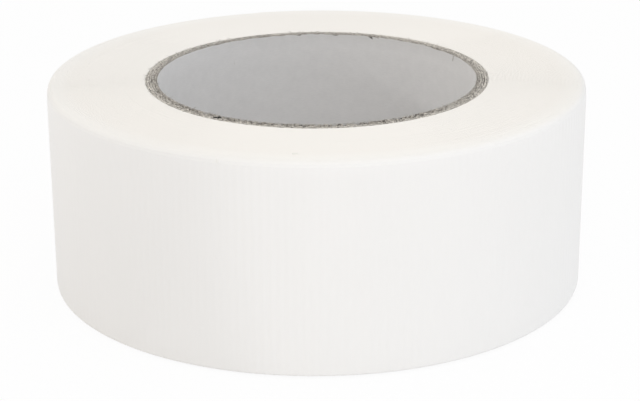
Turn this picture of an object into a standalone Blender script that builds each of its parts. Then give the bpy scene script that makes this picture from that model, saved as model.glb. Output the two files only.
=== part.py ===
"""Roll of white cloth tape lying flat: a spiral-wound paper core with one long strip of tape wound on it.

Metres, +Z up. The axis of the roll is Z, and its lower end face lies on z = 0.
"""

import itertools
import math

import bmesh
import bpy
from mathutils import Vector

# Tape
TAPE_WIDTH = 0.050
TAPE_LENGTH = 25.0
TAPE_THICKNESS = 0.000316
LAP_CLEARANCE = 0.0001  # between the outer turn and the turns under it

# Free end of the tape, which lifts away from the roll at the peel line
FREE_END_LENGTH = 0.035
FREE_END_AZIMUTH = 90.0  # of its middle, in degrees from +X
PEEL_GAP = 0.0006  # at the peel line and where the tape's end meets its own lap

# Core plies, from the bore outwards
CORE_BORE = 0.077
LINER_THICKNESS = 0.00022
BOARD_THICKNESS = 0.00052
BOARD_COUNT = 4
OUTER_PLY_THICKNESS = 0.00027
GLUE_LINE = 0.0001  # between one ply and the next, and under the first turn of tape

# Helix of the ply strips
SEAM_ANGLE = 35.0  # of a strip's edge to the circumference, in degrees
SEAM_GAP = 0.0007  # between the butted edges of a strip
LINER_SEAM_AZIMUTH = 295.0  # where the liner's seam meets the upper end face, in degrees
SEAM_STAGGER = 100.0  # from each ply's seam to the next ply's, in degrees
TRIM = 0.003  # of wound strip that is cut away past each end of the core

# Flats that stand in for a full circle, the same on every round piece
FACETS = 96

# Colours and roughness
TAPE_WHITE = (0.88, 0.87, 0.84)
LINER_GREY = (0.70, 0.695, 0.69)
BOARD_GREY = (0.44, 0.42, 0.37)
KRAFT_TAN = (0.56, 0.54, 0.48)
FILM_ROUGHNESS = 0.45
PAPER_ROUGHNESS = 0.85

# Sizes that follow from those above. The core is cut together with the tape, so its ends are flush
STEP = math.tau / FACETS
CORE_LENGTH = TAPE_WIDTH
BORE_RADIUS = CORE_BORE / 2
BOARD_PITCH = BOARD_THICKNESS + GLUE_LINE
FIRST_BOARD_RADIUS = BORE_RADIUS + LINER_THICKNESS + GLUE_LINE
OUTER_PLY_RADIUS = FIRST_BOARD_RADIUS + BOARD_COUNT * BOARD_PITCH
TAPE_START_RADIUS = OUTER_PLY_RADIUS + OUTER_PLY_THICKNESS + GLUE_LINE

# The turns follow from the tape's length, measured along the middle of a spiral with this pitch
MEAN_START_RADIUS = TAPE_START_RADIUS + TAPE_THICKNESS / 2
MEAN_OUTER_RADIUS = math.sqrt(MEAN_START_RADIUS**2 + TAPE_LENGTH * TAPE_THICKNESS / math.pi)
TURNS = (MEAN_OUTER_RADIUS - MEAN_START_RADIUS) / TAPE_THICKNESS

# The tape ends at the lap. Angles along the outer turn are counted from there, the way the tape is wound
FREE_SPAN = FREE_END_LENGTH / MEAN_OUTER_RADIUS
HALF_GAP = PEEL_GAP / MEAN_OUTER_RADIUS / 2
LAP_AZIMUTH = math.radians(FREE_END_AZIMUTH) + FREE_SPAN / 2
PEEL_LINE = math.tau - FREE_SPAN


def polar(radius, azimuth, z=0.0):
    return Vector((radius * math.cos(azimuth), radius * math.sin(azimuth), z))


def lap_radius(angle):
    """Outside of the turns that the outer turn lies on. It grows by one thickness of tape in a turn."""
    return TAPE_START_RADIUS + TAPE_THICKNESS * (TURNS - 1 + angle / math.tau)


def under_side(angle):
    return lap_radius(angle) + LAP_CLEARANCE


def film_side(angle):
    return lap_radius(angle) + TAPE_THICKNESS


def make_material(name, colour, roughness):
    material = bpy.data.materials.new(name)
    material.use_nodes = True
    shader = material.node_tree.nodes["Principled BSDF"]
    shader.inputs["Base Color"].default_value = (*colour, 1.0)
    shader.inputs["Roughness"].default_value = roughness
    return material


def add_object(name, bm, material=None):
    """Turns the faces outwards and puts the mesh into the scene, smooth except at its edges."""
    bmesh.ops.recalc_face_normals(bm, faces=bm.faces)
    mesh = bpy.data.meshes.new(name)
    bm.to_mesh(mesh)
    bm.free()
    mesh.polygons.foreach_set("use_smooth", [True] * len(mesh.polygons))
    mesh.set_sharp_from_angle(angle=math.radians(30))
    if material:
        mesh.materials.append(material)
    part = bpy.data.objects.new(name, mesh)
    bpy.context.collection.objects.link(part)
    return part


def core_cutter():
    """A slab as thick as the core is long, wider than the core."""
    bm = bmesh.new()
    bmesh.ops.create_cube(bm, size=1.0)
    side = 3 * TAPE_START_RADIUS
    bmesh.ops.scale(bm, verts=bm.verts, vec=(side, side, CORE_LENGTH))
    bmesh.ops.translate(bm, verts=bm.verts, vec=(0, 0, CORE_LENGTH / 2))
    cutter = add_object("core_length_cutter", bm)
    cutter.hide_render = True
    cutter.display_type = "WIRE"
    return cutter


def wound_ply(name, radius, thickness, seam_azimuth, material, cutter):
    """A paper strip wound as a helix with its edges butted, then cut square at both ends of the core."""
    slope = math.radians(SEAM_ANGLE)
    climb = math.tau * (radius + thickness / 2) * math.tan(slope)
    height = climb - SEAM_GAP / math.cos(slope)
    turns = 1 + (CORE_LENGTH + 2 * TRIM) / climb
    steps = math.ceil(turns * FACETS)
    # The winding starts on a facet line, low enough for its edge to reach the top at the seam's azimuth
    rise = math.tau * (CORE_LENGTH + TRIM + climb) / climb
    start = STEP * math.floor((math.radians(seam_azimuth) - rise) / STEP)
    low = CORE_LENGTH - climb * (math.radians(seam_azimuth) - start) / math.tau
    bm = bmesh.new()
    outside = radius + thickness
    high = low + height
    corners = ((radius, low), (outside, low), (outside, high), (radius, high))
    section = bm.faces.new([bm.verts.new(polar(r, start, z)) for r, z in corners])
    bmesh.ops.spin(
        bm,
        geom=[section, *section.edges, *section.verts],
        cent=(0, 0, 0),
        axis=(0, 0, 1),
        dvec=(0, 0, climb / FACETS),
        angle=steps * STEP,
        steps=steps,
    )
    ply = add_object(name, bm, material)
    cut = ply.modifiers.new("cut to length", "BOOLEAN")
    cut.operation = "INTERSECT"
    cut.solver = "EXACT"
    cut.object = cutter
    return ply


def make_core():
    liner = make_material("liner paper", LINER_GREY, PAPER_ROUGHNESS)
    board = make_material("chipboard", BOARD_GREY, PAPER_ROUGHNESS)
    kraft = make_material("kraft paper", KRAFT_TAN, PAPER_ROUGHNESS)
    cutter = core_cutter()
    wound_ply("core_liner_ply", BORE_RADIUS, LINER_THICKNESS, LINER_SEAM_AZIMUTH, liner, cutter)
    for index in range(BOARD_COUNT):
        radius = FIRST_BOARD_RADIUS + index * BOARD_PITCH
        seam = LINER_SEAM_AZIMUTH + (index + 1) * SEAM_STAGGER
        wound_ply(f"core_board_ply_{index + 1}", radius, BOARD_THICKNESS, seam, board, cutter)
    seam = LINER_SEAM_AZIMUTH + (BOARD_COUNT + 1) * SEAM_STAGGER
    wound_ply("core_outer_ply", OUTER_PLY_RADIUS, OUTER_PLY_THICKNESS, seam, kraft, cutter)


def raise_to_width(bm):
    """Extrudes the flat outline by the width of the tape."""
    raised = bmesh.ops.extrude_face_region(bm, geom=bm.faces[:])
    top = [item for item in raised["geom"] if isinstance(item, bmesh.types.BMVert)]
    bmesh.ops.translate(bm, verts=top, vec=(0, 0, TAPE_WIDTH))


def wound_turns(material):
    """All turns but the last as one ring. Its outside is a spiral, stepped where the last turn begins."""
    bm = bmesh.new()
    angles = [k * STEP for k in range(FACETS + 1)]
    inside = [bm.verts.new(polar(TAPE_START_RADIUS, LAP_AZIMUTH + a)) for a in angles[:-1]]
    outside = [bm.verts.new(polar(lap_radius(a), LAP_AZIMUTH + a)) for a in angles]
    for k in range(FACETS):
        following = (k + 1) % FACETS
        bm.faces.new((inside[k], outside[k], outside[following], inside[following]))
    bm.faces.new((outside[FACETS - 1], outside[FACETS], outside[0]))
    raise_to_width(bm)
    add_object("tape_wound_turns", bm, material)


def strip_angles(start, end):
    """The strip's two ends and the facet lines between them."""
    first = math.ceil(start / STEP + 0.1)
    last = math.floor(end / STEP - 0.1)
    return [start, *(k * STEP for k in range(first, last + 1)), end]


def tape_strip(name, start, end, origin, material):
    """A length of the last turn, lying along the spiral."""
    angles = strip_angles(start, end)
    bm = bmesh.new()
    under = [bm.verts.new(polar(under_side(a), LAP_AZIMUTH + a) - origin) for a in angles]
    film = [bm.verts.new(polar(film_side(a), LAP_AZIMUTH + a) - origin) for a in angles]
    for k in range(len(angles) - 1):
        bm.faces.new((under[k], film[k], film[k + 1], under[k + 1]))
    raise_to_width(bm)
    strip = add_object(name, bm, material)
    strip.location = origin
    return strip


def least_gap(strip):
    """How near the strip comes to itself, between points more than half a turn apart along it."""
    points = [vertex.co for vertex in strip.data.vertices]
    along = [(math.atan2(point.y, point.x) - LAP_AZIMUTH) % math.tau for point in points]
    pairs = itertools.combinations(range(len(points)), 2)
    return min((points[i] - points[j]).length for i, j in pairs if abs(along[i] - along[j]) > math.pi)


def make_tape():
    film = make_material("tape film", TAPE_WHITE, FILM_ROUGHNESS)
    turns = make_material("tape edges", TAPE_WHITE, FILM_ROUGHNESS)
    wound_turns(turns)
    outer = tape_strip("tape_outer_turn", HALF_GAP, PEEL_LINE - HALF_GAP, Vector(), film)
    print(f"tape_outer_turn: least gap to itself {1000 * least_gap(outer):.1f} mm")
    # The free end turns about the peel line, on the film side, so that it can fold back over the roll
    hinge = polar(film_side(PEEL_LINE), LAP_AZIMUTH + PEEL_LINE)
    tape_strip("tape_free_end", PEEL_LINE + HALF_GAP, math.tau - HALF_GAP, hinge, film)
    print(f"hinge of the free end: {hinge.x:.6f} {hinge.y:.6f} m")
    print(f"{TURNS:.1f} turns, {2000 * MEAN_OUTER_RADIUS:.1f} mm mean outer diameter")


for old in list(bpy.data.objects):
    bpy.data.objects.remove(old, do_unlink=True)
make_core()
make_tape()
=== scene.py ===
"""Dresses the solids of a roll of white cloth tape, and sets up the photo's camera, light and floor."""

import math

import bpy
import numpy as np
from mathutils import Matrix, Vector


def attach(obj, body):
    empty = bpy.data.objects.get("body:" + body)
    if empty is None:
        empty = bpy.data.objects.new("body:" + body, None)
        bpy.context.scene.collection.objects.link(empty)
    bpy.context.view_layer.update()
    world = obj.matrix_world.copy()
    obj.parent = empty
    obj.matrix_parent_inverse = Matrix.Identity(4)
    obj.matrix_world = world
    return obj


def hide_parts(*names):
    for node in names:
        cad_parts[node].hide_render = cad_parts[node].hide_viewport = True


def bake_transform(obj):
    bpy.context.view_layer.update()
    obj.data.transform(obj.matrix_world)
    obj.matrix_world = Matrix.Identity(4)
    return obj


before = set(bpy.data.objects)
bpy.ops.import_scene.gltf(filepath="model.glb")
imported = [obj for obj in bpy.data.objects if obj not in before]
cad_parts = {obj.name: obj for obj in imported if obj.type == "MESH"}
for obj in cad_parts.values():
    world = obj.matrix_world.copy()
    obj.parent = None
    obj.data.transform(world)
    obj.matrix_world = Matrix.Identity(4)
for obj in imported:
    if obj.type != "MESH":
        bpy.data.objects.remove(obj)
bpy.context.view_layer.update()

MM = 1000  # millimetres in a metre

# Sizes of the tape in metres, the same as the solids'
TAPE_WIDTH = 0.050
TAPE_LENGTH = 25.0
TAPE_THICKNESS = 0.000316
TAPE_START_RADIUS = 0.04167
FREE_END_LENGTH = 0.035
FREE_END_AZIMUTH = math.radians(90)

# Core, also the same
BORE_RADIUS = 0.0385
LINER_THICKNESS = 0.00022
BOARD_THICKNESS = 0.00052
BOARD_COUNT = 4
OUTER_PLY_THICKNESS = 0.00027
GLUE_LINE = 0.0001
CORE_RADIUS = 0.04157
SEAM_ANGLE = math.radians(35)
LINER_SEAM_AZIMUTH = math.radians(295)
SEAM_STAGGER = math.radians(100)

# Winding, worked out as for the solids
MEAN_START_RADIUS = TAPE_START_RADIUS + TAPE_THICKNESS / 2
MEAN_OUTER_RADIUS = math.sqrt(MEAN_START_RADIUS**2 + TAPE_LENGTH * TAPE_THICKNESS / math.pi)
TURNS = (MEAN_OUTER_RADIUS - MEAN_START_RADIUS) / TAPE_THICKNESS
FREE_SPAN = FREE_END_LENGTH / MEAN_OUTER_RADIUS
LAP_AZIMUTH = FREE_END_AZIMUTH + FREE_SPAN / 2
WOUND_ANGLE = math.tau * (TURNS - 1)  # of the turns under the last one
PEEL_ANGLE = math.tau * TURNS - FREE_SPAN

# What follows is finer than the solids. First the turns of the tape
TAPE_SLACK = 0.00002  # air between turns
STEEPEST_CLIMB = 600  # of the first turn over the tape's beginning, as a power of the share of a turn
CLIMB_EASING = 8  # turns in which that power falls to about a third
RINGS_PER_TURN = 144
CLIMB_TURNS = 20  # the climbs before this turn have finer rings
CLIMB_RINGS = 6
CLIMB_SHARE = 0.012  # of a turn that these rings take up
LEAD_LENGTH = 0.006  # of the free end's piece that stays down before the peel line
LEAD_SPAN = LEAD_LENGTH / MEAN_OUTER_RADIUS

# Edges of the tape
EDGE_CROWN = 0.00006  # by which the middle of a tape edge stands up
EDGE_WAVES = (0.9, 0.000004)  # spacing in radians and size of the unevenness of the edges
EDGE_POINTS = np.array([0.12, 0.35, 0.65, 0.88])  # across the last turn's edge, as shares of its thickness
UPPER_RIM = 0.0024  # size of the worn corner where the upper end face meets the outside
LOWER_RIM = 0.0008
RIM_POWER = 3  # of the corner's curve, where 2 would be a circle
RIM_REACH = 0.97  # share of the curve that is used, short of where it stands upright
ROW_CROWDING = 2.2  # power by which the points up a strip crowd towards its upper edge
TEAR_WAVES = ((0.0005, 0.0061, 0.5), (0.0003, 0.0027, 0.0))  # of the torn end: size, length, phase
TEAR_SETBACK = 0.0008

# Film on the outside
SHOULDER = 0.0026  # height over which the outermost film is worn thinner
SHOULDER_WEAR = 0.45  # share of the thickness lost at the top of it
WEAR_START = 0.006  # length from the lap over which the last turn's wear sets in
ADHESIVE_REACH = 0.9  # share of the slack that the last turn's adhesive fills
RIB_PITCH = 0.00185  # of the cloth's cross threads, which show through the film
RIB_HEIGHT = 0.00002
RINGS_PER_RIB = 5
STRIP_ROWS = 30  # points up each side of the last turn's section
SLOW_WAVES = 0.000012  # height of the unevenness of the outside
QUICK_WAVES = 0.000006

# Place of the core, and its paper strips
OFF_CENTRE = np.array([0.00015, -0.0004, 0.0])  # of the core, which the outer turns don't follow
SETTLED_RADIUS = 0.0645  # beyond which the turns are round about the axis
FLARE = 0.00025  # by which the bore is wider at its two ends
FLARE_DEPTH = 0.0015
SEAM_OPENING = 0.0003  # between the edges of each strip, which are wider apart in the solids
PLY_ROWS = 17  # points up each wall of a ply
PLY_POINTS = 4  # points across its end faces, between the walls
PLY_RAGGEDNESS = 0.00003
LINER_COLUMNS = 720
LINER_ROWS = 24
# Spacing in radians and size of the unevenness of the liner's upper edge, all round and at the back
LINER_WAVES = (0.05, 0.00002)
BACK_WAVES = (0.03, 0.00006)
# Chips torn out of that edge: azimuth in degrees, depth, half width in radians
LINER_CHIPS = (
    (38.0, 0.00015, 0.05),
    (66.0, 0.0003, 0.006),
    (69.0, 0.0006, 0.009),
    (83.0, 0.0002, 0.02),
    (97.0, 0.0003, 0.015),
)

# Sawn end faces of the core
END_AZIMUTHS = np.linspace(0, math.tau, 1200, endpoint=False)  # of their points
END_STEP = END_AZIMUTHS[1]
END_RADII = np.linspace(0.0387, 0.0417, 61)
CUT_RADII = (0.0387, 0.0402, 0.0416)
CUT_HEIGHTS = (0.00005, 0.0, -0.0001)  # of the saw's cut at these radii
BACK_RECESS = 0.0001  # by which the boards are cut lower at the back
FIBRE_HEIGHT = 0.00004
CLUMP_HEIGHT = 0.00003
TORN_AZIMUTH = math.radians(270)  # middle of the part of the core that the saw tore
TORN_SPREAD = math.radians(32)
PIT_COUNT = 480
PIT_RADIUS = 0.0389  # of the innermost pits
PIT_SPREAD = 0.0009
PIT_WIDTHS = (0.00012, 0.00032)
PIT_LENGTHS = (0.0002, 0.0006)
PIT_DEPTHS = (0.0001, 0.0006)
PIT_FLOOR = -0.008
NOTCH_RADIUS = 0.0400  # of the hole that the saw tore at the seam of the third board
NOTCH_AZIMUTH = LINER_SEAM_AZIMUTH + 3 * SEAM_STAGGER + math.radians(0.6)
NOTCH_SIZE = (0.0006, 0.0005)
NOTCH_LEAN = -0.2

# Loose fibres and threads
HAIR_POINTS = 5
HAIR_TIP = 0.35  # share of a hair's radius that is left at its tip
ASKEW = (0.3, 0.5, 0.8)  # a direction that no hair lies along
SHORTEST_HAIR = 0.0002
HAIR_CURL = 0.2  # how far a hair bends sideways, as a share of its length
HAIR_ARCH = 2.2  # radians of a sine that it rises along
HAIR_LIFT = 0.00004
FLATTEST = 0.05  # least rise as a share of the length
LOWER_LIFT = 0.3  # share of the lift that hairs on the lower end face have
HAIR_RADII = (0.00002, 0.00007)
HEADING_SPREAD = 1.3
UPPER_SHARE = 0.8  # of the hairs at the core's edges are on the upper end face
FRAYED_AZIMUTH = math.radians(205)  # middle of the part where the core's outer edge is frayed
OUTER_EDGE_FIBRES = 170
INNER_EDGE_FIBRES = 200
FACE_FIBRES = 300
THREAD_COUNT = 22
THREAD_RADIUS = 0.00009
THREAD_ROOT = 0.0003  # length of a thread that is inside the tape
THREAD_LENGTHS = (0.0006, 0.0016)
THREAD_STRAY = 0.00025  # by which its tip strays up or down

# Colours of the tape's edges, and where along the tape they change
WORN_FROM = TAPE_LENGTH - 8.0  # where the edges begin to look rubbed
RIM_FROM = TAPE_LENGTH - 1.6  # where the rounded rim begins
RUBBED_WHITE = (0.950, 0.932, 0.893, 1)
RIM_WHITE = (0.898, 0.889, 0.873, 1)
WEFT_PITCH = 0.64  # of the cloth's threads, in millimetres
WARP_PITCH = 0.46

# Mean colours of the innermost and the outermost ply, and shares of them
INNER_BOARD = np.array([0.380, 0.353, 0.314])
OUTER_BOARD = np.array([0.578, 0.545, 0.494])
DARK_FLECK = 0.35
PALE_FLECK = 1.62
FLECK_RANGE = (0.40, 0.60)  # of the noise between dark and pale flecks
# Painted shade in the torn pits, as a share of a board's mean colour
PIT_SHADE_TONE = 0.25
PIT_SHADE_DEPTHS = (0.0002, 0.0007)  # depths between which a pit gets painted shade
# Painted shadow in the notch
NOTCH_SHADOW_COLOUR = (0.02, 0.019, 0.018, 1)
NOTCH_SHADOW_DEPTHS = (0.00002, 0.00015)
NOTCH_SHADOW_FADE = (0.0009, 0.0012)  # distances from the notch between which its painted shadow ends

# Painted shade on the core's boards and along the bore. Each sets in between two distances from the axis,
# towards its azimuth
FRONT_SHADE = 0.15  # of the outermost ply. The inner ones have less
FRONT_AZIMUTH = math.radians(287)
FRONT_REACH = (0.026, 0.039)
BACK_SHADE = 0.22
BACK_AZIMUTH = math.radians(108)
BACK_REACH = (0.0265, 0.0345)
BORE_SHADE_COLOUR = (0.30, 0.29, 0.285, 1)  # colour of the painted shade along the upper edge of the bore, at the back
BORE_SHADE_SHARE = 0.16
BORE_SHADE_DEPTH = 0.0035
BORE_SHADE_AZIMUTH = math.radians(75)
BORE_SHADE_REACH = (0.013, 0.030)

# Light, floor and camera
SKY_LOW = 1.0  # strength at the horizon
SKY_HIGH = 1.13  # and straight above
SKY_LEFT = (0.822, 0.783, 0.737, 1)
SKY_RIGHT = (0.815, 0.845, 0.888, 1)
KEY_POWER = 0.178
FILL_POWER = 2.65
BORE_POWER = 7.5
FLOOR_SIZE = 6.0
FLOOR_LEVEL = -0.0004
FLOOR_GLOW = 0.93  # share of the background's white in the floor
LENS = 105.116
SENSOR_WIDTH = 36.0
CAMERA_PLACE = (0.000751, -0.438204, 0.177654)
CAMERA_AIM = (0.000751, 0.0, 0.017519)
CAMERA_ROLL = math.radians(0.3157)


def polar(radius, azimuth, z):
    """Points from arrays of radius, azimuth and height, which may have different shapes."""
    radius, azimuth, z = np.broadcast_arrays(radius, azimuth, z)
    return np.stack([radius * np.cos(azimuth), radius * np.sin(azimuth), z], axis=-1)


def smooth_noise(rng, along, spacing, size):
    """Smooth random heights along a line of increasing positions."""
    knots = np.arange(along[0] - spacing, along[-1] + 3 * spacing, spacing)
    values = rng.normal(0, size, len(knots))
    place = (along - knots[0]) / spacing
    index = np.floor(place).astype(int)
    share = place - index
    share = share * share * (3 - 2 * share)
    return values[index] * (1 - share) + values[index + 1] * share


# Meshes


def settle(points):
    """Points moved with the core, which is a little off centre and flared at both ends of its bore."""
    radius = np.hypot(points[:, 0], points[:, 1])
    follow = np.clip((SETTLED_RADIUS - radius) / (SETTLED_RADIUS - TAPE_START_RADIUS), 0, 1)
    depth = np.minimum(points[:, 2], TAPE_WIDTH - points[:, 2])
    flare = FLARE * np.clip(1 - depth / FLARE_DEPTH, 0, 1) ** 2
    flare = flare * np.clip((TAPE_START_RADIUS - radius) / (TAPE_START_RADIUS - BORE_RADIUS), 0, 1)
    outwards = points * [1, 1, 0] / radius[:, None]
    return points + follow[:, None] * OFF_CENTRE + flare[:, None] * outwards


def mesh_object(name, points, faces, uvs, slots, materials):
    """A smooth mesh whose map holds places along and across a strip, in millimetres."""
    mesh = bpy.data.meshes.new(name)
    mesh.from_pydata(settle(points).tolist(), [], faces)
    for material in materials:
        mesh.materials.append(material)
    mesh.polygons.foreach_set("material_index", slots)
    mesh.polygons.foreach_set("use_smooth", np.ones(len(faces), bool))
    corners = np.empty(len(mesh.loops), np.int32)
    mesh.loops.foreach_get("vertex_index", corners)
    layer = mesh.uv_layers.new(name="strip")
    layer.data.foreach_set("uv", (uvs[corners] * MM).astype(np.float32).ravel())
    mesh.update()
    piece = bpy.data.objects.new(name, mesh)
    bpy.context.collection.objects.link(piece)
    return piece


def sharpen(piece, across, lines, end_rings):
    """Marks as sharp the edges along these points of the section, and those round these rings."""
    edges = piece.data.edges
    ends = np.empty(2 * len(edges), np.int32)
    edges.foreach_get("vertices", ends)
    ring, lane = np.divmod(ends.reshape(-1, 2), across)
    lengthwise = (lane[:, 0] == lane[:, 1]) & np.isin(lane[:, 0], lines)
    around = (ring[:, 0] == ring[:, 1]) & np.isin(ring[:, 0], end_rings)
    edges.foreach_set("use_edge_sharp", lengthwise | around)


def end_cap(ring, side):
    """Faces that close a strip's end, laid from one side of its section to the other."""
    crown = len(ring) // 2 - side
    facing = ring[side + crown : 2 * side + crown][::-1]
    faces = [[ring[k], ring[k + 1], facing[k + 1], facing[k]] for k in range(side - 1)]
    if crown:
        faces.append(ring[side - 1 : side + crown + 1])
        faces.append(ring[2 * side + crown - 1 :] + ring[:1])
    return faces


def loft(name, rings, uvs, lane_slots, materials, lines, side):
    """A strip with closed ends through rings of points, each of which goes once round its section.

    The section has so many points on each side, and the rest across its edges.
    """
    count, across = rings.shape[:2]
    grid = np.arange(count * across).reshape(count, across)
    ahead = np.roll(grid, -1, axis=1)
    quads = np.stack([grid[:-1], grid[1:], ahead[1:], ahead[:-1]], axis=-1).reshape(-1, 4)
    first = end_cap(grid[0].tolist(), side)
    last = [face[::-1] for face in end_cap(grid[-1].tolist(), side)]
    faces = quads.tolist() + first + last
    slots = np.tile(lane_slots, count - 1).tolist()
    slots += [lane_slots[side - 1]] * (len(first) + len(last))
    piece = mesh_object(name, rings.reshape(-1, 3), faces, uvs.reshape(-1, 2), slots, materials)
    sharpen(piece, across, lines, [0, count - 1])
    return piece


# Tape


def turn_radius(angle):
    """Underside of the tape at this angle along the whole winding.

    The first turns climb over the tape's own beginning in a short step, which the later ones spread out.
    """
    turn = np.floor(angle / math.tau)
    share = angle / math.tau - turn
    steepness = 1 + STEEPEST_CLIMB * np.exp(-turn / CLIMB_EASING)
    return TAPE_START_RADIUS + TAPE_THICKNESS * (turn + share**steepness)


def turn_azimuth(angle):
    return LAP_AZIMUTH + angle - WOUND_ANGLE


def run_length(angle):
    """Length of tape wound up to this angle."""
    middle = MEAN_START_RADIUS + TAPE_THICKNESS * angle / (2 * math.tau)
    return middle * angle


def rim_drop(radius, azimuth, corner):
    """How far a worn corner of this size has set back the end face."""
    lap = (azimuth - LAP_AZIMUTH) % math.tau
    outside = turn_radius(WOUND_ANGLE + lap) + TAPE_THICKNESS
    reach = np.clip(1 - (outside - radius) / corner, 0, RIM_REACH)
    return corner * (1 - (1 - reach**RIM_POWER) ** (1 / RIM_POWER))


def strip_rings(angles, side, crown, wave):
    """Rings of a length of tape, each from its film over the upper edge to the adhesive and back below."""
    under = turn_radius(angles)[:, None]
    # The adhesive fills the room up to the next turn
    thickness = turn_radius(angles + math.tau)[:, None] - under - TAPE_SLACK
    depth = np.concatenate([np.ones(side), crown[::-1], np.zeros(side), crown])
    radius = under + thickness * depth
    azimuth = turn_azimuth(angles)[:, None]
    # The edges stand up a little in the middle of the tape's thickness
    dip = EDGE_CROWN * (2 * depth - 1) ** 2
    climb = 1 - np.linspace(1, 0, side) ** ROW_CROWDING
    rise = np.concatenate([climb, np.ones(len(crown)), climb[::-1], np.zeros(len(crown))])
    low = rim_drop(radius, azimuth, LOWER_RIM) + dip
    high = TAPE_WIDTH - rim_drop(radius, azimuth, UPPER_RIM) - dip + wave[:, None]
    z = low + (high - low) * rise
    along = run_length(angles)[:, None]
    uvs = np.stack(np.broadcast_arrays(along, z), axis=-1)
    return radius, azimuth, z, uvs


def strip_slots(side, crown):
    """Which material each lane of a strip takes: film, edge or adhesive."""
    edge = [1] * (len(crown) + 1)
    return [0] * (side - 1) + edge + [2] * (side - 1) + edge


def corner_lines(side, crown):
    """The four lengthwise corners of a strip, of which the second is the film's upper one."""
    upper = side + len(crown)
    return [0, side - 1, upper, upper + side - 1]


def wound_angles():
    """Places of the rings: even steps, the same on every turn, and finer ones in the first climbs."""
    even = np.arange(0, WOUND_ANGLE, math.tau / RINGS_PER_TURN)
    tops = np.arange(1, CLIMB_TURNS)[:, None]
    before = CLIMB_SHARE * np.linspace(0, 1, CLIMB_RINGS + 1)[1:] ** 2
    fine = math.tau * (tops - before)
    return np.unique(np.concatenate([even, fine.ravel(), [WOUND_ANGLE]]))


def wound_turns(materials):
    """Every turn under the last one, as one unbroken strip."""
    rng = np.random.default_rng(11)
    angles = wound_angles()
    crown = np.array([0.5])
    wave = smooth_noise(rng, angles, *EDGE_WAVES)
    side = 2
    radius, azimuth, z, uvs = strip_rings(angles, side, crown, wave)
    rings = polar(radius, azimuth, z)
    lines = corner_lines(side, crown)
    return loft("wound_turns", rings, uvs, strip_slots(side, crown), materials, lines, side)


def film_relief(angles, z):
    """Shallow unevenness of the outside, and ribs of varying strength where the cloth shows through."""
    around = turn_azimuth(angles)[:, None]
    up = z / TAPE_WIDTH
    slow = np.sin(9 * around + 2.0 * up) * np.sin(2.1 * up + 0.4)
    quick = np.sin(31 * around + 1.3 * np.sin(5 * up)) * np.cos(4.2 * up)
    along = run_length(angles)[:, None]
    strength = 1 + 0.4 * np.sin(along / 0.013) * np.sin(along / 0.0071 + 2 * up)
    ribs = strength * np.cos(math.tau * along / RIB_PITCH)
    return SLOW_WAVES * slow + QUICK_WAVES * quick + RIB_HEIGHT * ribs


def worn_relief(angles, z):
    """Heights of the last turn's surface, its film rounded off at the upper edge."""
    top = z[:, STRIP_ROWS - 1 : STRIP_ROWS]
    worn = SHOULDER_WEAR * TAPE_THICKNESS * np.clip(1 - (top - z) / SHOULDER, 0, 1) ** 2
    relief = film_relief(angles, z) - worn
    upper = STRIP_ROWS + len(EDGE_POINTS)
    relief[:, STRIP_ROWS:upper] = -SHOULDER_WEAR * TAPE_THICKNESS * EDGE_POINTS[::-1]
    relief[:, upper:] = 0
    # At the lap the strip carries on from the turns below it
    set_in = np.clip((angles - WOUND_ANGLE) * MEAN_OUTER_RADIUS / WEAR_START, 0, 1)
    relief = relief * set_in[:, None]
    # The adhesive comes down almost to the turn below
    relief[:, upper : upper + STRIP_ROWS] -= ADHESIVE_REACH * TAPE_SLACK
    return relief


def cut_line(z):
    """How far the tape's end, torn off by hand, reaches past a straight cut at this height."""
    waves = sum(size * np.sin(z / length + phase) for size, length, phase in TEAR_WAVES)
    return waves - TEAR_SETBACK


def outer_strip(name, start, end, materials, torn=0):
    """A length of the last turn with a finer surface. Where torn is 1, its end is wavy."""
    count = round(RINGS_PER_RIB * (end - start) * MEAN_OUTER_RADIUS / RIB_PITCH) + 1
    angles = np.linspace(start, end, count)
    radius, azimuth, z, uvs = strip_rings(angles, STRIP_ROWS, EDGE_POINTS, np.zeros(count))
    azimuth = np.repeat(azimuth, z.shape[1], axis=1)
    azimuth[-1] += torn * cut_line(z[-1]) / MEAN_OUTER_RADIUS
    rings = polar(radius + worn_relief(angles, z), azimuth, z)
    slots = strip_slots(STRIP_ROWS, EDGE_POINTS)
    # The film's upper corner stays smooth
    lines = np.delete(corner_lines(STRIP_ROWS, EDGE_POINTS), 1)
    return loft(name, rings, uvs, slots, materials, lines, STRIP_ROWS)


def last_turn(materials):
    return outer_strip("last_turn", WOUND_ANGLE, PEEL_ANGLE - LEAD_SPAN, materials)


def free_end(materials):
    return outer_strip("free_end", PEEL_ANGLE - LEAD_SPAN, math.tau * TURNS, materials, torn=1)


# Core


def liner_edge(turn):
    """Unevenness and chips of the liner's upper edge, as heights along its turn from the seam."""
    rng = np.random.default_rng(5)
    back = np.clip(np.sin(LINER_SEAM_AZIMUTH + turn), 0, 1)
    uneven = smooth_noise(rng, turn, *LINER_WAVES) + back * smooth_noise(rng, turn, *BACK_WAVES)
    for azimuth, depth, width in LINER_CHIPS:
        place = math.radians(azimuth) - LINER_SEAM_AZIMUTH + math.tau
        uneven = uneven - depth * np.exp(-(((turn - place) / width) ** 4))
    return uneven


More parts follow.
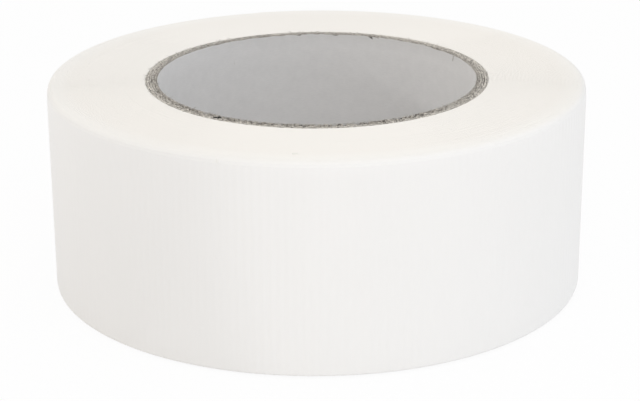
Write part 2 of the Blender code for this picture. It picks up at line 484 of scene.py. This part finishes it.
def bore_liner(paper, board):
    """The thin paper strip of the bore wall, wound as a helix with an open seam. Its cut ends are grey."""
    rows = LINER_ROWS
    middle = BORE_RADIUS + LINER_THICKNESS / 2
    climb = math.tau * middle * math.tan(SEAM_ANGLE)
    span = math.tau - SEAM_OPENING / math.sin(SEAM_ANGLE) / middle
    turn = np.linspace(0, span, LINER_COLUMNS)
    rise = np.linspace(0, 1, rows)
    rise = np.concatenate([rise, rise[::-1]])
    radius = np.where(np.arange(2 * rows) < rows, BORE_RADIUS + LINER_THICKNESS, BORE_RADIUS)
    z = TAPE_WIDTH * rise[None, :] + liner_edge(turn)[:, None] * (rise == 1)
    azimuth = LINER_SEAM_AZIMUTH - math.tau * (TAPE_WIDTH - z) / climb + turn[:, None]
    rings = polar(radius[None, :], azimuth, z)
    uvs = np.stack([azimuth * middle, z], axis=-1)
    slots = [0] * (2 * rows)
    slots[rows - 1] = 1
    slots[-1] = 1
    return loft("bore_liner", rings, uvs, slots, [paper, board], corner_lines(rows, []), rows)


def grain(rng, shape, across, along):
    """Random field that repeats at its edges, smoothed over so many rows and columns."""
    rows = np.fft.fftfreq(shape[0])[:, None]
    columns = np.fft.fftfreq(shape[1])[None, :]
    keep = np.exp(-2 * math.pi**2 * ((rows * across) ** 2 + (columns * along) ** 2))
    field = np.real(np.fft.ifft2(np.fft.fft2(rng.normal(size=shape)) * keep))
    return field / field.std()


def dig(height, place, size, depth, lean=0.0):
    """Sinks a flat-bottomed hollow into an end face, given in metres and radians."""
    spacing = END_STEP * place[0]
    reach = math.ceil((1.5 * size[1] + 2 * abs(lean) * size[0]) / spacing)
    middle = round(place[1] / END_STEP)
    columns = np.arange(middle - reach, middle + reach + 1)
    out = END_RADII[:, None] - place[0]
    along = (columns * END_STEP - place[1]) * place[0] - lean * out
    hollow = np.exp(-(((out / size[0]) ** 2 + (along / size[1]) ** 2) ** 3))
    height[:, columns % len(END_AZIMUTHS)] -= depth * hollow


def end_relief(seed, notch_azimuth):
    """Heights of a sawn end face of the core by radius and azimuth: fibres, clumps, a notch and pits."""
    rng = np.random.default_rng(seed)
    shape = (len(END_RADII), len(END_AZIMUTHS))
    # The saw leaves the core a little lower than the tape wound on it
    tilt = np.interp(END_RADII, CUT_RADII, CUT_HEIGHTS)
    height = tilt[:, None] - BACK_RECESS * np.clip(np.sin(END_AZIMUTHS), 0, 1)
    height += FIBRE_HEIGHT * grain(rng, shape, 2.0, 1.6) + CLUMP_HEIGHT * grain(rng, shape, 6.0, 9.0)
    dig(height, (NOTCH_RADIUS, notch_azimuth), NOTCH_SIZE, -PIT_FLOOR, NOTCH_LEAN)
    for _ in range(PIT_COUNT):
        place = (PIT_RADIUS + abs(rng.normal(0, PIT_SPREAD)), rng.normal(TORN_AZIMUTH, TORN_SPREAD))
        size = (rng.uniform(*PIT_WIDTHS), rng.uniform(*PIT_LENGTHS))
        dig(height, place, size, rng.uniform(*PIT_DEPTHS))
    return np.maximum(height, PIT_FLOOR)


def ply_ends(reliefs, radii, low_azimuth, high_azimuth):
    """Heights of a ply's lower and upper end at these radii, looked up in the reliefs of the end faces."""
    count = len(END_AZIMUTHS)
    nearest = np.abs(END_RADII[:, None] - radii).argmin(axis=0)
    upper = np.round(high_azimuth / END_STEP).astype(int) % count
    lower = np.round(low_azimuth / END_STEP).astype(int) % count
    high = TAPE_WIDTH + reliefs[0][nearest][:, upper].T
    low = np.maximum(-reliefs[1][nearest][:, lower], 0).T
    return low, high


def core_ply(name, inside, thickness, seam, reliefs, seed, material):
    """One paper strip of the core, wound as a helix with an open seam, its ends sawn."""
    rng = np.random.default_rng(seed)
    count = len(END_AZIMUTHS)
    wall = np.linspace(0, 1, PLY_ROWS)
    across = np.linspace(0, 1, PLY_POINTS + 2)[1:-1]
    share = np.concatenate([np.ones(PLY_ROWS), across[::-1], np.zeros(PLY_ROWS), across])
    rise = np.concatenate([wall, np.ones(len(across)), wall[::-1], np.zeros(len(across))])
    middle = inside + thickness / 2
    drop = TAPE_WIDTH / (middle * math.tan(SEAM_ANGLE))
    turn = np.linspace(0, math.tau - SEAM_OPENING / math.sin(SEAM_ANGLE) / middle, count)
    azimuth = seam - drop * (1 - rise) + turn[:, None]
    ragged = PLY_RAGGEDNESS * grain(rng, (2, count), 0.5, 2.5)[:, :, None]
    radius = inside + thickness * share + ragged[0] * (1 - share) + ragged[1] * share
    low, high = ply_ends(reliefs, inside + thickness * share, seam - drop + turn, seam + turn)
    z = low + (high - low) * rise
    rings = polar(radius, azimuth, z)
    uvs = np.stack([middle * azimuth, z], axis=-1)
    lines = corner_lines(PLY_ROWS, across)
    return loft(name, rings, uvs, [0] * len(share), [material], lines, PLY_ROWS)


def core_plies():
    """The boards and the thin ply that the tape is wound on. They get paler outwards."""
    drop = TAPE_WIDTH / (CORE_RADIUS * math.tan(SEAM_ANGLE))
    reliefs = [end_relief(31, NOTCH_AZIMUTH), end_relief(37, NOTCH_AZIMUTH - drop)]
    inside = BORE_RADIUS + LINER_THICKNESS + GLUE_LINE
    plies = {}
    for index in range(BOARD_COUNT + 1):
        outer = index == BOARD_COUNT
        node = "core_outer_ply" if outer else f"core_board_ply_{index + 1}"
        thickness = OUTER_PLY_THICKNESS if outer else BOARD_THICKNESS
        tone = INNER_BOARD + (OUTER_BOARD - INNER_BOARD) * index / BOARD_COUNT
        material = board_material(f"chipboard {index + 1}", tone, FRONT_SHADE * index / BOARD_COUNT)
        seam = LINER_SEAM_AZIMUTH + (index + 1) * SEAM_STAGGER
        plies[node] = core_ply(f"ply_{index + 1}", inside, thickness, seam, reliefs, 41 + index, material)
        inside += thickness + GLUE_LINE
    return plies


# Loose fibres, threads and lint


def hair(path, radius, sides):
    """Tapering tube along a short path of points: (points, faces)."""
    way = path[-1] - path[0]
    side = np.cross(way, ASKEW)
    side = side / np.linalg.norm(side)
    up = np.cross(way, side)
    up = up / np.linalg.norm(up)
    turn = math.tau / sides * np.arange(sides)
    ring = np.cos(turn)[:, None] * side + np.sin(turn)[:, None] * up
    taper = radius * np.linspace(1, HAIR_TIP, len(path))
    points = (path[:, None, :] + ring[None] * taper[:, None, None]).reshape(-1, 3)
    faces = []
    for k in range(len(path) - 1):
        near = sides * k
        far = near + sides
        for j in range(sides):
            ahead = (j + 1) % sides
            faces.append([near + j, near + ahead, far + ahead, far + j])
    first = list(range(sides))[::-1]
    last = list(range(len(points) - sides, len(points)))
    return points, faces + [first, last]


def hairs(name, fibres, material, sides=3):
    """Many fine fibres in one mesh, each given by its path and its radius."""
    points = []
    faces = []
    total = 0
    for path, radius in fibres:
        own_points, own_faces = hair(path, radius, sides)
        points.append(own_points)
        faces.extend([[total + index for index in face] for face in own_faces])
        total += len(own_points)
    points = np.concatenate(points)
    slots = np.zeros(len(faces), np.int32)
    return mesh_object(name, points, faces, points[:, :2], slots, [material])


def flat_hair(rng, radius, azimuth, longest, heading, steepest, upper=True):
    """A fibre that lies almost flat on an end face, with its own length, curve and rise."""
    length = rng.uniform(SHORTEST_HAIR, longest)
    steps = np.linspace(0, 1, HAIR_POINTS)
    out = length * np.cos(heading) * steps
    along = length * np.sin(heading) * steps + HAIR_CURL * length * rng.normal() * steps**2
    lift = HAIR_LIFT + length * rng.uniform(FLATTEST, steepest) * np.sin(HAIR_ARCH * steps)
    z = TAPE_WIDTH + lift if upper else -lift * LOWER_LIFT
    return polar(radius + out, azimuth + along / radius, z)


def edge_fibres(rng, count, radius, azimuth, spread, heading, longest, steepest):
    """Fibres along one edge of the core's end faces, pointing roughly one way."""
    fibres = []
    for _ in range(count):
        place = rng.normal(azimuth, spread)
        way = heading + rng.normal(0, HEADING_SPREAD)
        upper = rng.random() < UPPER_SHARE
        path = flat_hair(rng, radius, place, longest, way, steepest, upper)
        fibres.append((path, rng.uniform(*HAIR_RADII)))
    return fibres


def face_fibres(rng, count, inner_edge):
    """Fibres that lie any way across the upper end face of the core."""
    fibres = []
    for _ in range(count):
        radius = rng.uniform(inner_edge, CORE_RADIUS)
        azimuth, heading = rng.uniform(0, math.tau, 2)
        path = flat_hair(rng, radius, azimuth, longest=0.0008, heading=heading, steepest=0.12)
        fibres.append((path, rng.uniform(0.00003, 0.00006)))
    return fibres


def shreds():
    """A tick on the bore wall, a shred that hangs from its edge and one that stands on the end face."""
    tick = TAPE_WIDTH - 0.0061 + np.linspace(0, 0.001, HAIR_POINTS)
    fall = TAPE_WIDTH - np.linspace(0, 0.0014, HAIR_POINTS)
    rise = TAPE_WIDTH + np.linspace(-0.0002, 0.0006, HAIR_POINTS)
    return [
        (polar(BORE_RADIUS, math.radians(123.9), tick), 0.0001),
        (polar(BORE_RADIUS, math.radians(27.0), fall), 0.00014),
        (polar(CORE_RADIUS - 0.001, math.radians(45.4), rise), 0.00008),
    ]


def core_fibres(material):
    """Paper fibres torn up by the saw: at the edges of the core's end faces, and across the upper one."""
    rng = np.random.default_rng(23)
    inner_edge = BORE_RADIUS + LINER_THICKNESS / 2
    outward = {"spread": 1.0, "heading": 0.0, "longest": 0.0009, "steepest": 0.12}
    inward = {"spread": 1.2, "heading": math.pi, "longest": 0.0008, "steepest": 0.5}
    fibres = edge_fibres(rng, OUTER_EDGE_FIBRES, CORE_RADIUS, FRAYED_AZIMUTH, **outward)
    fibres += edge_fibres(rng, INNER_EDGE_FIBRES, inner_edge, TORN_AZIMUTH, **inward)
    fibres += face_fibres(rng, FACE_FIBRES, inner_edge)
    return hairs("core_fibres", fibres + shreds(), material)


def lint(material):
    """Specks on the tape: one on the upper end face, one at the rim and one on the outside."""
    count = 7
    bulge = 0.0001 * np.sin(np.linspace(0, math.pi, count))
    face_radius = 0.0598
    along = math.radians(265.0) + np.linspace(0, 0.0016 / face_radius, count)
    over = np.linspace(0.06483, 0.06527, count)
    down = np.linspace(0.04945, 0.0486, count)
    rise = 0.0267 + np.linspace(0, 0.0006, count)
    specks = [
        (polar(face_radius, along, TAPE_WIDTH - 0.00003 + bulge), 0.0001),
        (polar(over + bulge, math.radians(251.1), down + bulge), 0.00016),
        (polar(MEAN_OUTER_RADIUS + 0.0001, math.radians(250.2), rise), 0.00007),
    ]
    return hairs("lint", specks, material, sides=8)


def end_threads(material):
    """Ends of the cloth's threads at the torn end of the tape."""
    rng = np.random.default_rng(47)
    middle = turn_radius(math.tau * TURNS) + TAPE_THICKNESS / 2
    threads = []
    for z in rng.uniform(0.001, TAPE_WIDTH - 0.002, THREAD_COUNT):
        start = cut_line(z) - THREAD_ROOT
        along = np.linspace(start, start + rng.uniform(*THREAD_LENGTHS), HAIR_POINTS)
        stray = rng.normal(0, THREAD_STRAY) * np.linspace(0, 1, HAIR_POINTS) ** 2
        path = polar(middle, turn_azimuth(math.tau * TURNS) + along / middle, z + stray)
        threads.append((path, THREAD_RADIUS))
    return hairs("end_threads", threads, material)


# Materials


class Graph:
    """Adds nodes to a material or a world."""

    def __init__(self, tree):
        self.tree = tree

    def add(self, kind, inputs=(), **settings):
        node = self.tree.nodes.new(kind)
        for key, value in settings.items():
            setattr(node, key, value)
        for key, value in dict(inputs).items():
            if isinstance(value, bpy.types.NodeSocket):
                self.tree.links.new(value, node.inputs[key])
            else:
                node.inputs[key].default_value = value
        return node

    def math(self, operation, first, second=0.0):
        return self.add("ShaderNodeMath", {0: first, 1: second}, operation=operation).outputs[0]

    def weighted(self, first, weight, second, other_weight):
        """Sum of two values, each times its weight."""
        product = self.math("MULTIPLY", first, weight)
        return self.math("ADD", product, self.math("MULTIPLY", second, other_weight))

    def mix(self, share, first, second):
        inputs = {0: share, 6: first, 7: second}
        return self.add("ShaderNodeMix", inputs, data_type="RGBA").outputs[2]

    def spread(self, value, low, high, start=0.0, end=1.0):
        """Low where the value is at its start, high where it is at its end."""
        inputs = {"Value": value, "From Min": start, "From Max": end, "To Min": low, "To Max": high}
        return self.add("ShaderNodeMapRange", inputs).outputs[0]

    def split(self, vector):
        """The three parts of a vector."""
        return self.add("ShaderNodeSeparateXYZ", {0: vector}).outputs

    def noise(self, vector, scale, detail=2.0):
        inputs = {"Vector": vector, "Scale": scale, "Detail": detail}
        return self.add("ShaderNodeTexNoise", inputs).outputs[0]

    def stretch(self, vector, amounts):
        inputs = {"Vector": vector, "Scale": amounts}
        return self.add("ShaderNodeMapping", inputs).outputs[0]

    def bands(self, vector, direction, pitch, wobble):
        """Even ribs across one direction of the map."""
        inputs = {"Vector": vector, "Scale": math.tau / 20 / pitch, "Distortion": wobble, "Detail": 1.0}
        settings = {"bands_direction": direction}
        return self.add("ShaderNodeTexWave", inputs, **settings).outputs["Fac"]

    def bump(self, height, distance):
        inputs = {"Height": height, "Distance": distance, "Strength": 1.0}
        return self.add("ShaderNodeBump", inputs).outputs[0]


def new_material(name):
    """A material with its graph and its shader."""
    material = bpy.data.materials.new(name)
    material.use_nodes = True
    graph = Graph(material.node_tree)
    shader = material.node_tree.nodes["Principled BSDF"]
    return material, graph, shader


def connect(graph, shader, **sockets):
    for name, socket in sockets.items():
        graph.tree.links.new(socket, shader.inputs[name.replace("_", " ").title()])


def strip_map(graph):
    """Places along and across a strip, in millimetres."""
    return graph.add("ShaderNodeUVMap", uv_map="strip").outputs[0]


def object_map(graph):
    """Places in the roll's own frame, in metres."""
    return graph.add("ShaderNodeTexCoord").outputs["Object"]


def film_material():
    """White coat over a plain weave, which shows as faint ribs."""
    material, graph, shader = new_material("tape film")
    place = strip_map(graph)
    weft = graph.bands(place, "X", WEFT_PITCH, 0.6)
    warp = graph.bands(place, "Y", WARP_PITCH, 0.6)
    speckle = graph.noise(place, 3.0)
    weave = graph.weighted(weft, 0.4, warp, 0.3)
    height = graph.math("ADD", weave, graph.math("MULTIPLY", speckle, 0.5))
    cloud = graph.noise(graph.stretch(place, (0.06, 0.03, 1.0)), 1.0)
    colour = graph.mix(cloud, (0.898, 0.888, 0.872, 1), (0.878, 0.868, 0.852, 1))
    rough = graph.spread(graph.noise(place, 0.4), 0.36, 0.46)
    connect(graph, shader, base_color=colour, roughness=rough, normal=graph.bump(height, 0.000006))
    return material


def edge_material():
    """Cut edges of the tape, warm white, each turn of a slightly different tone."""
    material, graph, shader = new_material("tape edges")
    place = strip_map(graph)
    streak = graph.noise(graph.stretch(place, (0.02, 0.0, 1.0)), 1.0, 3.0)
    speck = graph.noise(place, 2.5, 3.0)
    share = graph.weighted(streak, 0.4, speck, 0.6)
    cream = graph.mix(share, (0.949, 0.923, 0.877, 1), (0.919, 0.889, 0.837, 1))
    # The outermost turns are rubbed, and their edges show more of the white coat
    along = graph.split(place)[0]
    worn = graph.spread(along, 0.0, 1.0, WORN_FROM * MM, RIM_FROM * MM)
    rim = graph.spread(along, 0.0, 1.0, RIM_FROM * MM, TAPE_LENGTH * MM)
    colour = graph.mix(rim, graph.mix(worn, cream, RUBBED_WHITE), RIM_WHITE)
    rough = graph.spread(speck, 0.6, 0.8)
    connect(graph, shader, base_color=colour, roughness=rough, normal=graph.bump(speck, 0.00001))
    return material


def adhesive_material():
    """Sticky side of the tape, with the cloth's threads under it."""
    material, graph, shader = new_material("tape adhesive")
    place = strip_map(graph)
    weft = graph.bands(place, "X", WEFT_PITCH, 1.0)
    warp = graph.bands(place, "Y", WARP_PITCH, 1.0)
    weave = graph.math("MULTIPLY", weft, warp)
    blotch = graph.noise(place, 0.25, 3.0)
    tone = graph.weighted(weave, 0.45, blotch, 0.55)
    colour = graph.mix(tone, (0.84, 0.82, 0.76, 1), (0.91, 0.895, 0.85, 1))
    rough = graph.spread(blotch, 0.22, 0.4)
    connect(graph, shader, base_color=colour, roughness=rough, normal=graph.bump(weave, 0.00002))
    return material


def towards(graph, parts, azimuth):
    """How far out from the axis a place lies towards this azimuth."""
    return graph.weighted(parts[0], math.cos(azimuth), parts[1], math.sin(azimuth))


def liner_material():
    """Grey recycled paper, mottled and slightly fibrous, with painted shade at the back along the bore's
    upper edge.
    """
    material, graph, shader = new_material("liner paper")
    place = strip_map(graph)
    mottle = graph.noise(place, 0.35, 4.0)
    fibre = graph.noise(graph.stretch(place, (0.8, 3.2, 1.0)), 1.0, 4.0)
    share = graph.weighted(mottle, 0.5, fibre, 0.5)
    unshaded = graph.mix(share, (0.625, 0.619, 0.612, 1), (0.778, 0.767, 0.758, 1))
    parts = graph.split(object_map(graph))
    # Painted shade along the bore's upper edge, at the back
    upper = graph.spread(parts[2], 0.0, BORE_SHADE_SHARE, TAPE_WIDTH - BORE_SHADE_DEPTH, TAPE_WIDTH)
    behind = graph.spread(towards(graph, parts, BORE_SHADE_AZIMUTH), 0.0, 1.0, *BORE_SHADE_REACH)
    colour = graph.mix(graph.math("MULTIPLY", upper, behind), unshaded, BORE_SHADE_COLOUR)
    rough = graph.spread(mottle, 0.75, 0.95)
    connect(graph, shader, base_color=colour, roughness=rough, normal=graph.bump(fibre, 0.00002))
    return material


def round_map(graph, parts, around, across):
    """Places stretched round the core: so many steps a millimetre around it and across its wall."""
    square = graph.math("ADD", graph.math("POWER", parts[0], 2.0), graph.math("POWER", parts[1], 2.0))
    radius = graph.math("MULTIPLY", graph.math("SQRT", square), MM * across)
    side = graph.math("MULTIPLY", parts[0], MM * around)
    depth = graph.math("MULTIPLY", parts[1], MM * around)
    return graph.add("ShaderNodeCombineXYZ", {0: side, 1: depth, 2: radius}).outputs[0]


def tinted(colour, factor):
    return (*(np.clip(colour * factor, 0, 1)), 1.0)


def painted_board_shade(graph, parts, below, front_shade):
    """Share of painted shade on a board: in the torn pits below its end faces, at the front and at the
    back.
    """
    pit_shade = graph.spread(below, 0.0, 1.0, *PIT_SHADE_DEPTHS)
    front = graph.spread(towards(graph, parts, FRONT_AZIMUTH), 0.0, front_shade, *FRONT_REACH)
    behind = graph.spread(towards(graph, parts, BACK_AZIMUTH), 0.0, BACK_SHADE, *BACK_REACH)
    return graph.math("MAXIMUM", pit_shade, graph.math("MAXIMUM", front, behind))


def notch_shadow_mask(graph, place, below):
    """Painted shadow: 1 inside the notch of the upper end face, and 0 elsewhere."""
    notch = polar(NOTCH_RADIUS, NOTCH_AZIMUTH, TAPE_WIDTH) + OFF_CENTRE
    away = graph.add("ShaderNodeVectorMath", {0: place, 1: notch}, operation="DISTANCE").outputs["Value"]
    inside = graph.spread(below, 0.0, 1.0, *NOTCH_SHADOW_DEPTHS)
    return graph.math("MULTIPLY", inside, graph.spread(away, 1.0, 0.0, *NOTCH_SHADOW_FADE))


def board_material(name, tone, front_shade=0.0):
    """Chipboard: grey-brown fibres lying round the core, dark and pale flecks, and painted shade and
    shadow.
    """
    material, graph, shader = new_material(name)
    place = object_map(graph)
    parts = graph.split(place)
    fibre = graph.noise(round_map(graph, parts, 1.3, 3.4), 1.0, 3.0)
    fleck = graph.noise(round_map(graph, parts, 2.8, 2.6), 1.0, 2.0)
    share = graph.spread(graph.weighted(fibre, 0.5, fleck, 0.5), 0.0, 1.0, *FLECK_RANGE)
    face = graph.mix(share, tinted(tone, DARK_FLECK), tinted(tone, PALE_FLECK))
    below = graph.math("MINIMUM", parts[2], graph.math("SUBTRACT", TAPE_WIDTH, parts[2]))
    # Painted shade in the pits, at the front and at the back
    paper = graph.mix(painted_board_shade(graph, parts, below, front_shade), face, tinted(tone, PIT_SHADE_TONE))
    # Painted shadow in the notch
    colour = graph.mix(notch_shadow_mask(graph, place, below), paper, NOTCH_SHADOW_COLOUR)
    rough = graph.spread(fleck, 0.8, 0.95)
    connect(graph, shader, base_color=colour, roughness=rough, normal=graph.bump(fibre, 0.00004))
    return material


def thread_material():
    """Off-white cotton."""
    material, graph, shader = new_material("cotton thread")
    tone = graph.noise(object_map(graph), 1500.0)
    colour = graph.mix(tone, (0.84, 0.82, 0.77, 1), (0.97, 0.96, 0.94, 1))
    rough = graph.spread(tone, 0.8, 0.95)
    connect(graph, shader, base_color=colour, roughness=rough)
    return material


def fibre_material():
    """Loose paper fibres, paler at some places than at others."""
    material, graph, shader = new_material("loose fibres")
    tone = graph.noise(object_map(graph), 900.0)
    colour = graph.mix(tone, (0.25, 0.23, 0.20, 1), (0.75, 0.73, 0.68, 1))
    rough = graph.spread(tone, 0.8, 0.95)
    connect(graph, shader, base_color=colour, roughness=rough)
    return material


# Studio


def seen_directly(graph):
    """1 for rays that show a thing itself: from the camera, from a gloss or through glass."""
    path = graph.add("ShaderNodeLightPath").outputs
    seen = graph.math("MAXIMUM", path["Is Camera Ray"], path["Is Glossy Ray"])
    return graph.math("MAXIMUM", seen, path["Is Transmission Ray"])


def make_world():
    """Soft white light from all sides, a little warmer from the left, in front of a white background."""
    world = bpy.data.worlds.new("studio")
    bpy.context.scene.world = world
    world.use_nodes = True
    world.node_tree.nodes.clear()
    graph = Graph(world.node_tree)
    parts = graph.split(graph.add("ShaderNodeTexCoord").outputs["Generated"])
    tint = graph.mix(graph.spread(parts[0], 0.0, 1.0, -1.0), SKY_LEFT, SKY_RIGHT)
    strength = graph.spread(parts[2], SKY_LOW, SKY_HIGH)
    soft = graph.add("ShaderNodeBackground", {"Color": tint, "Strength": strength}).outputs[0]
    white = graph.add("ShaderNodeBackground", {"Color": (1, 1, 1, 1), "Strength": 1.0}).outputs[0]
    both = graph.add("ShaderNodeMixShader", {0: seen_directly(graph), 1: soft, 2: white}).outputs[0]
    graph.add("ShaderNodeOutputWorld", {"Surface": both})


def make_floor():
    """White floor that fades into the background and keeps a faint shadow."""
    bpy.ops.mesh.primitive_plane_add(size=FLOOR_SIZE, location=(0, 0, FLOOR_LEVEL))
    floor = bpy.context.object
    floor.name = "studio_floor"
    material, graph, shader = new_material("floor white")
    shader.inputs["Base Color"].default_value = (0.93, 0.93, 0.93, 1)
    shader.inputs["Roughness"].default_value = 0.9
    shader.inputs["Specular IOR Level"].default_value = 0.0
    glow = graph.add("ShaderNodeEmission", {"Color": (1, 1, 1, 1), "Strength": 1.0}).outputs[0]
    share = graph.math("MULTIPLY", seen_directly(graph), FLOOR_GLOW)
    both = graph.add("ShaderNodeMixShader", {0: share, 1: shader.outputs[0], 2: glow}).outputs[0]
    graph.tree.links.new(both, graph.tree.nodes["Material Output"].inputs["Surface"])
    floor.data.materials.append(material)


def place_lamp(data, place, target):
    lamp = bpy.data.objects.new(data.name, data)
    lamp.location = place
    lamp.rotation_euler = (Vector(target) - Vector(place)).to_track_quat("-Z", "Y").to_euler()
    bpy.context.collection.objects.link(lamp)


def make_spot(name, power, size, blend, radius, place, target):
    spot = bpy.data.lights.new(name, "SPOT")
    spot.energy = power
    spot.spot_size = math.radians(size)
    spot.spot_blend = blend
    spot.shadow_soft_size = radius
    place_lamp(spot, place, target)


def make_lamps():
    """A soft box above the front, and two spots.

    One is a low fill from the front right that leaves the left side out. The other looks into the bore.
    """
    key = bpy.data.lights.new("soft box", "AREA")
    key.shape = "RECTANGLE"
    key.size = 0.4
    key.size_y = 0.3
    key.energy = KEY_POWER
    place_lamp(key, (0.1, -0.25, 0.3), (0, -0.03, 0.05))
    make_spot(
        "low fill",
        power=FILL_POWER,
        size=16.0,
        blend=0.085,
        radius=0.01,
        place=(0.1046, -1.1954, 0.044),
        target=(0.1349, -0.0458, 0.044),
    )
    make_spot(
        "bore light",
        power=BORE_POWER,
        size=3.6,
        blend=0.8,
        radius=0.035,
        place=(-1.1, -0.3, 0.33),
        target=(0.0365, 0.012, 0.046),
    )


def make_camera():
    """At the photo's place, with the slight roll that lifts its right side."""
    data = bpy.data.cameras.new("photograph")
    data.lens = LENS
    data.sensor_width = SENSOR_WIDTH
    data.clip_start = 0.01
    camera = bpy.data.objects.new("photograph", data)
    place = Vector(CAMERA_PLACE)
    back = (place - Vector(CAMERA_AIM)).normalized()
    right = Vector((0, 0, 1)).cross(back).normalized()
    up = back.cross(right)
    tilted_right = right * math.cos(CAMERA_ROLL) - up * math.sin(CAMERA_ROLL)
    tilted_up = up * math.cos(CAMERA_ROLL) + right * math.sin(CAMERA_ROLL)
    axes = Matrix((tilted_right, tilted_up, back)).transposed().to_4x4()
    camera.matrix_world = Matrix.Translation(place) @ axes
    bpy.context.collection.objects.link(camera)
    bpy.context.scene.camera = camera


# Assembly


def dress_tape():
    materials = [film_material(), edge_material(), adhesive_material()]
    wound = wound_turns(materials)
    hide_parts("tape_wound_turns")
    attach(wound, "roll")
    last = last_turn(materials)
    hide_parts("tape_outer_turn")
    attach(last, "roll")
    end = free_end(materials)
    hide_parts("tape_free_end")
    hinge = polar(turn_radius(PEEL_ANGLE) + TAPE_THICKNESS, turn_azimuth(PEEL_ANGLE), TAPE_WIDTH / 2)
    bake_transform(end)
    thread = thread_material()
    threads = end_threads(thread)
    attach(threads, "tape_end")
    specks = lint(thread)
    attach(specks, "roll")


def dress_core():
    liner = bore_liner(liner_material(), board_material("liner ends", INNER_BOARD))
    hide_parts("core_liner_ply")
    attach(liner, "roll")
    for node, ply in core_plies().items():
        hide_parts(node)
        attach(ply, "roll")
    fibres = core_fibres(fibre_material())
    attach(fibres, "roll")


bpy.context.scene.view_settings.view_transform = "Standard"
make_camera()
make_world()
make_floor()
make_lamps()
dress_tape()
dress_core()
